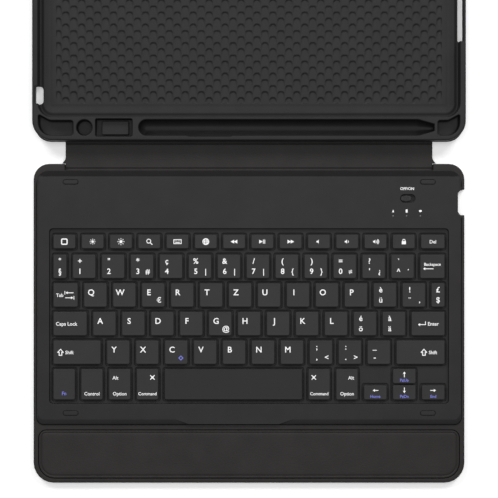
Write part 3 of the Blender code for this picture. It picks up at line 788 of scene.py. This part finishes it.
def function_marks(marks, node, places):
    for k, (x0, y0, x1, y1) in enumerate(places):
        x, y = (x0 + x1) / 2, (y0 + y1) / 2
        if node == "key_function_left":
            FUNCTION_LEFT[k](marks, x, y, FUNCTION_SIZES[k])
        elif k < 3:
            wedges(marks, x, y, 1.9, ((-1, -1), (1,), (1, 1))[k], bars=2 if k == 1 else 0)
        elif k < 6:
            speaker(marks, x, y, 1.5, (0, 1, 3)[k - 3])
        else:
            padlock(marks, x, y, 1.75)


def make_legends(node, places, caps):
    marks = Marks()
    direction = node.rsplit("_", 1)[-1]
    if node in LETTER_ROWS:
        for place, signs in zip(places, LETTER_ROWS[node]):
            letter_marks(marks, place, signs)
        if node == "key_lower_row":
            tilted_square(marks, places[2][2] - 4.2, places[2][1] + 3.9, 1.7, blue=True)
    elif node.startswith("key_function"):
        function_marks(marks, node, places)
    elif node.startswith("key_arrow"):
        dx, dy, label = ARROWS[direction]
        x = (places[0][0] + places[0][2]) / 2
        arrow_mark(marks, x, places[0][3] - 3.2, dx, dy, 3.2)
        marks.word(label, x, places[0][1] + 2.2, LABEL * 0.86, blue=True)
    else:
        wide_key_marks(marks, node, places[0])
    marks.make(node, caps)


def make_deck_marks(deck):
    """Printed marks beside the switch and the lamps, level with the deck."""
    marks = Marks()
    marks.word("OFF/ON", SWITCH_X - 0.4, SWITCH_Y + 5.9, 2.3)
    y = LAMP_Y + 2.9
    x_left, x_middle, x_right = LAMP_XS
    marks.blob([(-0.75, -0.95), (0.75, -0.95), (0.5, -0.1), (0, 1.1), (-0.5, -0.1)], x_left, y, 0.8)
    marks.blob([(-0.7, -1.15), (0.7, -1.15), (0.7, 1.15), (-0.7, 1.15)], x_middle, y, 0.8)
    marks.blob([(px * 1.1, py * 0.8) for px, py in circle_points(1.0)], x_right, y, 0.8)
    lift = DECK_TOP - LEGEND_Z + 0.012
    for shape in (marks.white, marks.blue):
        shape.points = [(x, y, z + lift) for x, y, z in shape.points]
    marks.make("deck_marks", deck)


# Leather back -----------------------------------------------------------------------------------

FAR_PANEL = tray_y(TRAY_DEPTH) - 0.4
PANEL_HALF = CASE_HALF - 0.4


def headphone_hole(grow=0.0):
    return box_corners(-127.5 - grow, tray_y(22.0) - grow, -123.0 + grow, tray_y(32.7) + grow,
                       [0.5, 2.2, 2.2, 0.5])


def speaker_slot(grow=0.0):
    return box_corners(124.8 - grow, tray_y(59.0) - grow, 127.8 + grow, tray_y(143.0) + grow,
                       [1.4, 0.5, 0.5, 1.4])


def camera_hole(grow=0.0):
    return round_corners(-112.5, tray_y(176.0), 6.5 + grow)


def leather_panel(name, corners, body, nodes, holes=()):
    """A leather panel with rounded edges, and holes right through it."""
    shape = Shape()
    low = [(inset, PANEL - z) for inset, z in reversed(fillet(0.0, PANEL, 0.3))]
    outline = shape.wall(corners, low + fillet(0.0, PANEL, 0.3))
    rims = []
    for hole in holes:
        shape.wall(hole, [(0.0, PANEL), (0.0, 0.0)])
        rims.append(path(hole))
    shape.fill(outline, PANEL, rims)
    shape.fill(path(corners, 0.3), 0.0, rims, down=True)
    return shape.make(name, MATERIALS["leather"], body, nodes, "leather")


def make_crease(name, y, half, node, depth=0.25, width=1.5):
    """The soft line that two panels fold on: rows of points across it, pinched in the middle."""
    columns = 45
    rows = 13
    shape = Shape()
    for side in (1, -1):
        points = []
        for i in range(rows):
            part = 2 * i / (rows - 1) - 1
            pinch = depth * math.cos(part * math.pi / 2) ** 2
            z = PANEL / 2 + side * (PANEL / 2 - 0.04 - pinch)
            for k in range(columns):
                points.append((-half + 2 * half * k / (columns - 1), y + part * width / 2, z))
        faces = []
        for i in range(rows - 1):
            for k in range(columns - 1):
                a = i * columns + k
                face = (a, a + 1, a + columns + 1, a + columns)
                faces.append(face if side > 0 else face[::-1])
        shape.add(points, faces)
    crease = shape.make(name, MATERIALS["leather"], None, [node], "leather")
    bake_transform(crease)


def make_back():
    """The spine, flared where it meets the ears, the two halves of the back and the three creases."""
    edge = CREASE_EDGE
    flare = 2.0
    spine = [(-SPINE_HALF, FRONT_CREASE + edge, 0.1), (SPINE_HALF, FRONT_CREASE + edge, 0.1),
             (SPINE_HALF, EAR_EDGE + 0.35, 0.05), (SPINE_HALF + flare, EAR_EDGE + 0.35, 0.05),
             (SPINE_HALF, EAR_EDGE + flare + 0.9, 4.0),
             (SPINE_HALF, REAR_CREASE - edge, 0.3), (-SPINE_HALF, REAR_CREASE - edge, 0.3),
             (-SPINE_HALF, EAR_EDGE + flare + 0.9, 4.0), (-SPINE_HALF - flare, EAR_EDGE + 0.35, 0.05),
             (-SPINE_HALF, EAR_EDGE + 0.35, 0.05)]
    leather_panel("spine_skin", spine, "spine", ["spine_panel"])
    leg = box_corners(-PANEL_HALF, REAR_CREASE + edge, PANEL_HALF, TILT_CREASE - edge,
                      [10.0, 10.0, 0.5, 0.5])
    leather_panel("leg_skin", leg, "leg", ["leg_panel"], [headphone_hole(0.3), speaker_leg_part()])
    back = box_corners(-PANEL_HALF, TILT_CREASE + edge, PANEL_HALF, FAR_PANEL, [0.5, 0.5, 11.6, 11.6])
    leather_panel("back_skin", back, "tray", ["back_panel"], [speaker_back_part(), camera_hole(0.3)])
    make_crease("front_crease_skin", FRONT_CREASE, SPINE_HALF, "front_crease")
    make_crease("rear_crease_skin", REAR_CREASE, SPINE_HALF, "rear_crease")
    make_crease("tilt_crease_skin", TILT_CREASE, PANEL_HALF - 0.3, "tilt_crease")


def speaker_leg_part():
    return box_corners(124.5, tray_y(58.7), 128.1, TILT_CREASE - CREASE_EDGE - 0.5, [1.4, 0.5, 0.3, 0.3])


def speaker_back_part():
    return box_corners(124.5, TILT_CREASE + CREASE_EDGE + 0.5, 128.1, tray_y(143.3), [0.3, 0.3, 0.5, 1.4])


# Tray -------------------------------------------------------------------------------------------

TRAY_BOTTOM = 1.7
TRAY_TOP = 11.0
POCKET_FLOOR = 2.7
BAY_MIDDLE = 7.7
BAY_FLOOR = 4.0
CHANNEL_LEFT = -65.7               # of the channel for the stylus
CHANNEL_RADIUS = 4.7
CHANNEL_AXIS = 7.0
TAPER_START = 100.6                # where it narrows towards the stylus's tip
TAPER_END = 110.2
PATTERN_HALF = CELL_WIDTH * 24.2
PATTERN_NEAR = 22.4
PATTERN_FAR = 180.5
PATTERN_BED = 1.82                 # below the deepest point of the pattern


def ridge(inset, bottom, top, width):
    """(inset, z) pairs over a low round ridge that starts this far in."""
    parts = [k / 8 for k in range(9)]
    return [(inset + width * p, bottom + (top - bottom) * math.sin(math.pi * p) ** 2) for p in parts]


def make_tray():
    """The tray: a rounded rim, a low ridge round the tablet's pocket, and the bay in front of it."""
    outer = box_corners(-CASE_HALF, TRAY_EDGE, CASE_HALF, tray_y(TRAY_DEPTH), 12.0)
    shape = Shape()
    profile = [(0.5, TRAY_BOTTOM), (0.12, TRAY_BOTTOM + 0.15), (0.0, TRAY_BOTTOM + 0.5), (0.0, 9.6)]
    outline = shape.wall(outer, profile + fillet(0.0, TRAY_TOP, 1.1, 6), steps=10)
    pocket = box_corners(-125.5, tray_y(14.2), 125.5, tray_y(188.8), 8.0)
    rings = [(-0.7, TRAY_TOP), (-0.4, 10.93), (-0.12, 10.7), (0.0, 10.3), (0.0, 4.2)]
    rings += [(0.15, 3.4), (0.5, 2.95)] + ridge(0.9, 2.85, 3.35, 4.2) + [(5.6, 2.62), (6.6, 2.55)]
    level = shape.wall(pocket, rings + [(7.4, 2.62), (7.9, POCKET_FLOOR)], 10)
    pattern = box_corners(-PATTERN_HALF, tray_y(PATTERN_NEAR), PATTERN_HALF, tray_y(PATTERN_FAR), 0.1)
    shape.fill(level, POCKET_FLOOR, [path(pattern, 0.0, 2)])
    shape.wall(pattern, [(0.0, POCKET_FLOOR), (0.0, PATTERN_BED)], 2)
    shape.fill(path(pattern, 0.0, 2), PATTERN_BED)
    shape.fill(outline, TRAY_TOP, [path(pocket, -0.7, 10)] + bay_hollows(shape))
    shape.fill(path(outer, 0.5, 10), TRAY_BOTTOM, down=True)
    tray = shape.make("tray_body", MATERIALS["tray"], "tray", ["tray_shell"], "tray")
    cut_openings(tray)
    return tray


def cut(tray, corners, pairs):
    """Takes a block with these (inset, z) pairs out of the tray."""
    block = Shape()
    outline = block.wall(corners, pairs)
    block.fill(outline, pairs[-1][1])
    block.fill(path(corners, pairs[0][0]), pairs[0][1], down=True)
    cutter = block.make("tray_cutter", MATERIALS["tray"], "tray")
    boolean = tray.modifiers.new("opening", "BOOLEAN")
    boolean.object = cutter
    boolean.operation = "DIFFERENCE"
    boolean.solver = "FAST"
    seen = bpy.context.evaluated_depsgraph_get()
    mesh = bpy.data.meshes.new_from_object(tray.evaluated_get(seen))
    tray.modifiers.remove(boolean)
    tray.data = mesh
    bpy.data.objects.remove(cutter)


def cut_openings(tray):
    """Cuts the holes for plug, speakers and camera, the gaps beside the buttons and the finger scoop."""
    for hole in (headphone_hole(), speaker_slot(), camera_hole()):
        cut(tray, hole, [(0.0, 1.0), (0.0, 12.0)])
    button_gap = [(0.5, 5.0), (0.15, 5.15), (0.0, 5.5), (0.0, 10.2), (-0.3, 10.7), (-0.9, 11.2)]
    cut(tray, box_corners(-131.0, tray_y(160.0), -124.9, tray_y(174.0), 0.5), button_gap)
    cut(tray, box_corners(-103.0, tray_y(188.2), -70.0, tray_y(192.0), 0.5), button_gap)
    scoop = box_corners(-37.6, tray_y(2.4), -9.0, tray_y(BAY_MIDDLE), [2.5, 2.5, 0.5, 0.5])
    cut(tray, scoop, [(0.6, 7.5), (0.2, 7.65), (0.0, 8.1), (0.0, 10.4), (-0.2, 10.8), (-0.7, 11.2)])


def bay_hollows(shape):
    """The hollows beside and in the stylus bay. Returns the outlines that they need in the tray's top."""
    near, mid, tip = tray_y(3.0), tray_y(12.0), tray_y(15.8)
    left = [(-125.4, near, 7.5), (-104.5, near, 1.5), (-104.5, mid, 1.5), (-118.5, mid, 5.0),
            (-125.4, tip, 0.8)]
    right = [(112.2, near, 1.5), (125.4, near, 7.5), (125.4, tip, 0.8), (118.5, mid, 5.0),
             (112.2, mid, 1.5)]
    adapter = box_corners(-91.4, tray_y(2.4), -69.3, tray_y(13.0), 1.0)
    cap = round_corners(-97.9, tray_y(BAY_MIDDLE), 4.75)
    needs = [shape.pit(left, TRAY_TOP, BAY_FLOOR, 0.5, 1.2), shape.pit(right, TRAY_TOP, BAY_FLOOR, 0.5, 1.2),
             shape.pit(adapter, TRAY_TOP, BAY_FLOOR, 0.4, 0.8), shape.pit(cap, TRAY_TOP, 3.0, 0.6, 1.0)]
    block = box_corners(-87.8, tray_y(3.6), -71.7, tray_y(11.8), 0.8)
    block_sides = [(0.0, BAY_FLOOR), (0.0, 6.4)] + fillet(0.0, CHANNEL_AXIS, 0.5)
    shape.fill(shape.wall(block, block_sides), CHANNEL_AXIS)
    middle = tray_y(BAY_MIDDLE)
    half = CHANNEL_RADIUS
    channel = [(CHANNEL_LEFT, middle - half, half * 0.999), (TAPER_START, middle - half, 3.0),
               (TAPER_END, middle - 2.0, 0.4), (TAPER_END, middle + 2.0, 0.4),
               (TAPER_START, middle + half, 3.0),
               (CHANNEL_LEFT, middle + half, half * 0.999)]
    rings = [(path(channel, inset), z) for inset, z in ((-0.6, TRAY_TOP), (-0.35, 10.93), (-0.1, 10.7))]
    rings += [(path(channel), 10.3)]
    for angle in range(0, 88, 8):
        turn = math.radians(angle)
        rings.append((drawn_in(path(channel), math.cos(turn)), CHANNEL_AXIS - half * math.sin(turn)))
    for (lower, z_low), (upper, z_high) in zip(rings, rings[1:]):
        shape.join(shape.ring(lower, z_low), shape.ring(upper, z_high))
    shape.fill(*rings[-1])
    needs.append(path(channel, -0.6))
    return needs


def drawn_in(outline, factor):
    """The stylus channel's outline drawn in towards its middle line and its round left end."""
    centre = CHANNEL_LEFT + CHANNEL_RADIUS
    middle = tray_y(BAY_MIDDLE)
    points = []
    for x, y in outline:
        if x < centre:
            x = centre + (x - centre) * factor
        points.append((x, middle + (y - middle) * factor))
    return points


def scoop_depths(xs, ws):
    """Depth of the tray floor's pattern at each point: staggered scoops, steep at their rear edge."""
    columns = np.round(xs / CELL_WIDTH)
    across = xs / CELL_WIDTH - columns
    along = (ws - PATTERN_NEAR) / CELL_LENGTH + np.mod(columns, 2) / 2
    along = along - np.floor(along)
    rear = 1.0 - 0.9 * across ** 2
    climb = np.clip(along / rear, 0, 1)
    ramp = climb * climb * (3 - 2 * climb)
    steep = np.clip((along - rear) / 0.05, 0, 1)
    side = np.clip(np.cos(np.pi * across), 0, 1) ** 0.7
    return 0.8 * ramp * (1 - steep) * side


def make_pattern(tray):
    """The patterned part of the tray's floor, as a grid of points."""
    per_cell = 11
    nx = int(2 * PATTERN_HALF / CELL_WIDTH * per_cell) + 1
    ny = int((PATTERN_FAR - PATTERN_NEAR) / CELL_LENGTH * per_cell * 1.5) + 1
    xs, ws = np.meshgrid(np.linspace(-PATTERN_HALF, PATTERN_HALF, nx),
                         np.linspace(PATTERN_NEAR, PATTERN_FAR, ny))
    from_camera = np.hypot(xs + 112.5, ws - 176.0)
    border = np.minimum(PATTERN_HALF - np.abs(xs), np.minimum(ws - PATTERN_NEAR, PATTERN_FAR - ws))
    depth = scoop_depths(xs, ws) * np.clip(border / 0.8, 0, 1) * np.clip((from_camera - 8.0) / 0.8, 0, 1)
    keep = from_camera > 6.6
    points = np.stack([xs, TRAY_EDGE + ws, POCKET_FLOOR - depth], axis=-1).reshape(-1, 3)
    index = np.arange(nx * ny).reshape(ny, nx)
    quads = np.stack([index[:-1, :-1], index[:-1, 1:], index[1:, 1:], index[1:, :-1]], axis=-1)
    whole = keep[:-1, :-1] & keep[:-1, 1:] & keep[1:, 1:] & keep[1:, :-1]
    mesh = bpy.data.meshes.new("tray_pattern")
    mesh.from_pydata(points * METRES, [], quads[whole].tolist())
    mesh.polygons.foreach_set("use_smooth", [True] * len(mesh.polygons))
    mesh.materials.append(MATERIALS["tray"])
    pattern = bpy.data.objects.new("tray_pattern", mesh)
    bpy.context.scene.collection.objects.link(pattern)
    pattern.parent = tray


# Stage ------------------------------------------------------------------------------------------

def paint_nodes():
    """Materials for the CAD nodes that are shown as they are."""
    slots = {row["node"]: row["material_slot"] for row in frame["record"]["subparts"]}
    for name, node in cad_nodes.items():
        if not node.hide_render:
            node.data.materials.clear()
            node.data.materials.append(MATERIALS[slots[name]])


def add_light(name, place, aim, size, power):
    light = bpy.data.lights.new(name, "AREA")
    light.shape = "DISK"
    light.size = size
    light.energy = power
    lamp = bpy.data.objects.new(name, light)
    bpy.context.scene.collection.objects.link(lamp)
    lamp.location = place
    lamp.rotation_euler = (Vector(aim) - Vector(place)).to_track_quat("-Z", "Y").to_euler()


def set_glow(material, strength):
    """Makes a material shine faintly, so that it stays light where little light reaches it."""
    shader = material.node_tree.nodes["Principled BSDF"]
    shader.inputs["Emission Color"].default_value = (1.0, 1.0, 1.0, 1.0)
    shader.inputs["Emission Strength"].default_value = strength


def set_stage():
    set_glow(MATERIALS["floor"], 0.22)
    bpy.ops.mesh.primitive_plane_add(size=6.0, location=(0, 0, -0.0002))
    floor = bpy.context.object
    floor.name = "studio_floor"
    floor.data.materials.append(MATERIALS["floor"])
    add_light("rear_left", (-0.75, 0.95, 0.85), (0, -0.02, 0), 0.55, 10.0)
    add_light("rear_right", (0.75, 0.95, 0.85), (0, -0.02, 0), 0.55, 10.0)
    add_light("overhead", (0.0, 0.05, 1.7), (0, -0.03, 0), 1.2, 12.0)
    world = bpy.data.worlds.new("studio")
    bpy.context.scene.world = world
    world.use_nodes = True
    world.node_tree.nodes["Background"].inputs["Color"].default_value = (1.0, 1.0, 1.0, 1.0)
    world.node_tree.nodes["Background"].inputs["Strength"].default_value = 0.28
    bpy.context.scene.view_settings.view_transform = "Standard"


def set_camera():
    """Straight down, far enough off for the case to look almost flat."""
    camera = bpy.data.cameras.new("camera")
    camera.lens = 121.0
    camera.sensor_width = 36.0
    holder = bpy.data.objects.new("camera", camera)
    bpy.context.scene.collection.objects.link(holder)
    holder.location = (0.0, -0.0575, 1.0054)
    bpy.context.scene.camera = holder


# Whole scene ------------------------------------------------------------------------------------

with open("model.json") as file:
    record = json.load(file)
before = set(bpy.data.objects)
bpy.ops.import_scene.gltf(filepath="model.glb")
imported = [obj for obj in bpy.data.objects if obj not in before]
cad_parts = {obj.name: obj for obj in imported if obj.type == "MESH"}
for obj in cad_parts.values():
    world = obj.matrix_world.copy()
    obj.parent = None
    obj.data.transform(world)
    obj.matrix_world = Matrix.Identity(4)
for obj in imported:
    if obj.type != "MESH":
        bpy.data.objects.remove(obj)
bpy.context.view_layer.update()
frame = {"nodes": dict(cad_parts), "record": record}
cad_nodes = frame["nodes"]
make_cover()
make_palm_pad()
all_places = []
for node_name in [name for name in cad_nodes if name.startswith("key_")]:
    cap_spots = cap_places(node_name)
    all_places += cap_spots
    caps = make_caps(node_name, cap_spots)
    make_legends(node_name, cap_spots, caps)
the_deck = make_deck(all_places)
make_deck_marks(the_deck)
make_deck_parts()
make_slider()
make_back()
make_pattern(make_tray())
paint_nodes()
set_stage()
set_camera()
